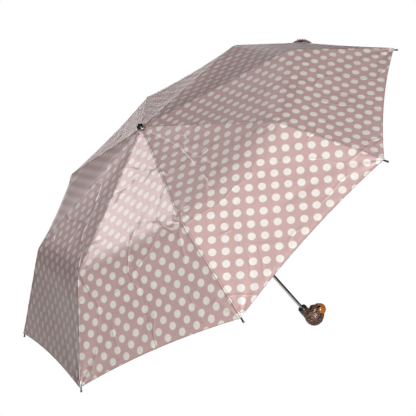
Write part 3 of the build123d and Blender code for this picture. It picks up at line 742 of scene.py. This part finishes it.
def strap_surface(along_share, across_share):
    """The ruffled band: deep pleats across it that fan out at both edges."""
    s, w = np.broadcast_arrays(along_share, across_share)
    x = (s - 0.5) * strap_length
    phase = 2 * pi * x / (5.4 * MM) + 1.1 * np.sin(9 * s) + 1.2 * w * np.sin(23 * s)
    envelope = np.sin(pi * np.clip(s, 0.02, 0.98)) ** 0.6
    pleat = (0.5 + 0.5 * np.sin(phase)) * (0.55 + 0.45 * np.abs(w)) * envelope
    height = 0.5 * MM + strap_height * (0.12 * envelope * (1 - 0.6 * w * w) + 0.8 * pleat)
    side = strap_width / 2 * w * (0.8 + 0.2 * envelope) + 0.9 * MM * np.sin(phase * 0.5) * w
    return x, side, height, pleat


grid_s, grid_w = np.linspace(0, 1, 181)[:, None], np.linspace(-1, 1, 15)[None, :]
x, side, height, pleat = strap_surface(grid_s, grid_w)
along_way, across_way, out_way = np.array([0.0, 1.0, 0.0]), np.array(strap_down), np.array(strap_out)
inward = np.array([-1.0, 0.0, 0.0]) * np.abs(x)[..., None] * sin(half_gore)
top = (np.array(strap_origin) + x[..., None] * along_way * cos(half_gore) + inward
       + side[..., None] * across_way + height[..., None] * out_way)
band = bpy.data.meshes.new("tie_band")
rows, columns = x.shape
index = np.arange(rows * columns).reshape(rows, columns)
quads = np.stack([index[:-1, :-1], index[1:, :-1], index[1:, 1:], index[:-1, 1:]], -1).reshape(-1, 4)
band.from_pydata(top.reshape(-1, 3).tolist(), [], quads.tolist())
band.attributes.new("pleat_shade_mask", "FLOAT", "POINT").data.foreach_set("value", pleat.reshape(-1))
shade_smooth(band)
blank = bpy.data.objects.new("tie_band", band)
bpy.context.scene.collection.objects.link(blank)
thicken = blank.modifiers.new("thickness", "SOLIDIFY")
thicken.thickness, thicken.offset = 0.5 * MM, 0
band = applied(blank)
bpy.data.objects.remove(blank)
band.transform(rib_turn.to_4x4())
tie_band = add_piece("tie_band", band, f"outer_rib_{strap_rib}", brown_satin, ["tie_strap"])
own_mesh(tie_band)

n = Nodes("plated_stud", rgb(214, 212, 210), 0.16, metallic=1.0)
point = n.object_point()
n.to("Base Color", n.mix(n.noise(400, 2, point), (*rgb(196, 194, 192), 1), (*rgb(228, 226, 224), 1)))
n.to("Roughness", n.math("MULTIPLY_ADD", n.noise(1200, 2, point), 0.15, 0.1))
plated = n.material
finish_nodes(plated, "strap_stud", "cap_washer")

# ---- ferrule ----
# A black moulded cap with a domed end, pushed in the top of the upper tube over the washer.
n = Nodes("gloss_black", rgb(16, 15, 15), 0.22, Coat_Weight=0.4, Coat_Roughness=0.08)
point = n.object_point()
n.to("Base Color", n.mix(n.noise(300, 3, point), (*rgb(11, 10, 10), 1), (*rgb(26, 24, 24), 1)))
n.to("Roughness", n.math("MULTIPLY_ADD", n.noise(900, 2, point), 0.15, 0.16))
n.bump(n.noise(1800, 2, point), 0.02 * MM, 0.3)
finish_nodes(n.material, "ferrule")

# ---- floor, light and camera ----
# A white floor under the handle, three soft lights, one low in front and two behind, and a long lens.
# Floor and background are plain white to the lens, graded in reflections, and dim for soft bounces.
# The floor is clear from below.
floor_height = cad_box[0].z - 4 * MM


def white_to_lens(tree, seen_in_gloss, otherwise):
    """An emission strength: 1 for the lens, one value in reflections and another for soft bounces."""
    path = tree.nodes.new("ShaderNodeLightPath")
    gloss, lens = tree.nodes.new("ShaderNodeMix"), tree.nodes.new("ShaderNodeMix")
    gloss.inputs[2].default_value = otherwise
    lens.inputs[3].default_value = 1.0
    tree.links.new(path.outputs["Is Glossy Ray"], gloss.inputs[0])
    tree.links.new(seen_in_gloss, gloss.inputs[3])
    tree.links.new(path.outputs["Is Camera Ray"], lens.inputs[0])
    tree.links.new(gloss.outputs[0], lens.inputs[2])
    return lens.outputs[0]


n = Nodes("floor_white", (0.0, 0.0, 0.0), 1.0, Specular_IOR_Level=0.0)
n.shader.inputs["Emission Color"].default_value = (1, 1, 1, 1)
# reflections show a bright floor left of the shaft, a dark one right of it and a bright far end
floor_x = n.add("SeparateXYZ", 0, {0: n.object_point()})
far = n.ramp(floor_x.node.outputs[1], 3.0, 7.0)
bright = n.math("MULTIPLY_ADD", n.ramp(floor_x, 0.12, -0.12), 0.85, n.math("MULTIPLY", far, 3.4))
n.to("Emission Strength", white_to_lens(n.tree, bright, 0.32))
from_below = n.add("NewGeometry", 6)
clear = n.tree.nodes.new("ShaderNodeBsdfTransparent")
either = n.add("MixShader", 0, {0: from_below, 1: n.shader.outputs[0], 2: clear.outputs[0]})
n.tree.links.new(either, n.tree.nodes["Material Output"].inputs[0])
floor_mesh = bpy.data.meshes.new("floor")
floor_size = 14.0  # half its width, metres
floor_mesh.from_pydata([(-floor_size, -floor_size, floor_height), (floor_size, -floor_size, floor_height),
                        (floor_size, floor_size, floor_height), (-floor_size, floor_size, floor_height)],
                       [], [(0, 1, 2, 3)])
floor_mesh.materials.append(n.material)
floor = bpy.data.objects.new("floor", floor_mesh)
bpy.context.scene.collection.objects.link(floor)

world = bpy.data.worlds.new("studio")
world.use_nodes = True
sky = world.node_tree
sky_height = sky.nodes.new("ShaderNodeSeparateXYZ")
sky.links.new(sky.nodes.new("ShaderNodeTexCoord").outputs["Generated"], sky_height.inputs[0])
sky.nodes["Background"].inputs[0].default_value = (1, 1, 1, 1)
sky_bright = sky.nodes.new("ShaderNodeMapRange")
sky_bright.inputs["From Min"].default_value, sky_bright.inputs["From Max"].default_value = 0.1, -0.1
sky_bright.inputs["To Min"].default_value, sky_bright.inputs["To Max"].default_value = 0.03, 0.2
sky.links.new(sky_height.outputs[0], sky_bright.inputs["Value"])
sky.links.new(white_to_lens(sky, sky_bright.outputs[0], 0.05), sky.nodes["Background"].inputs[1])
bpy.context.scene.world = world


light_distance = 3.2


def way(azimuth, elevation):
    """A unit vector toward an azimuth round the shaft and an elevation above the level."""
    return Vector((cos(azimuth) * cos(elevation), sin(azimuth) * cos(elevation), sin(elevation)))


def soft_light(name, azimuth, elevation, size, irradiance, tint, distance=light_distance, aim=(0, 0, 0.48)):
    """A square studio light that looks at the canopy from an azimuth round the shaft."""
    data = bpy.data.lights.new(name, "AREA")
    data.shape, data.size, data.energy, data.color = "SQUARE", size, irradiance * pi * distance**2, tint
    lamp = bpy.data.objects.new(name, data)
    bpy.context.scene.collection.objects.link(lamp)
    lamp.location = Vector(aim) + distance * way(radians(azimuth), radians(elevation))
    lamp.rotation_mode = "QUATERNION"
    lamp.rotation_quaternion = (Vector(aim) - lamp.location).to_track_quat("-Z", "Y")


soft_light("front", azimuth=292, elevation=6, size=1.3, irradiance=4.6, tint=(0.96, 1.0, 0.98))
soft_light("back", azimuth=119, elevation=47, size=1.0, irradiance=1.25, tint=(1.0, 0.90, 0.89))
soft_light("rim", azimuth=72, elevation=28, size=1.2, irradiance=0.24, tint=(1.0, 0.92, 0.92))

camera_data = bpy.data.cameras.new("camera")
camera_data.lens, camera_data.sensor_width = 95.31, 36
camera = bpy.data.objects.new("camera", camera_data)
bpy.context.scene.collection.objects.link(camera)
apex_point = Vector((0, 0, knee[1] + knee[0] * tan(inner_slope)))
camera_azimuth, camera_elevation, camera_distance = radians(-79.635), radians(19.169), 2.1619
camera_heading, camera_pitch, camera_roll = radians(100.565), radians(-24.584), radians(-41.907)
camera.location = apex_point + camera_distance * way(camera_azimuth, camera_elevation)
look = way(camera_heading, camera_pitch)
rolled = Matrix.Rotation(camera_roll, 4, "Z").to_quaternion()
camera.rotation_mode = "QUATERNION"
camera.rotation_quaternion = look.to_track_quat("-Z", "Y") @ rolled
camera_data.clip_start, camera_data.clip_end = 0.05, 60
bpy.context.scene.camera = camera
bpy.context.scene.view_settings.view_transform = "Standard"
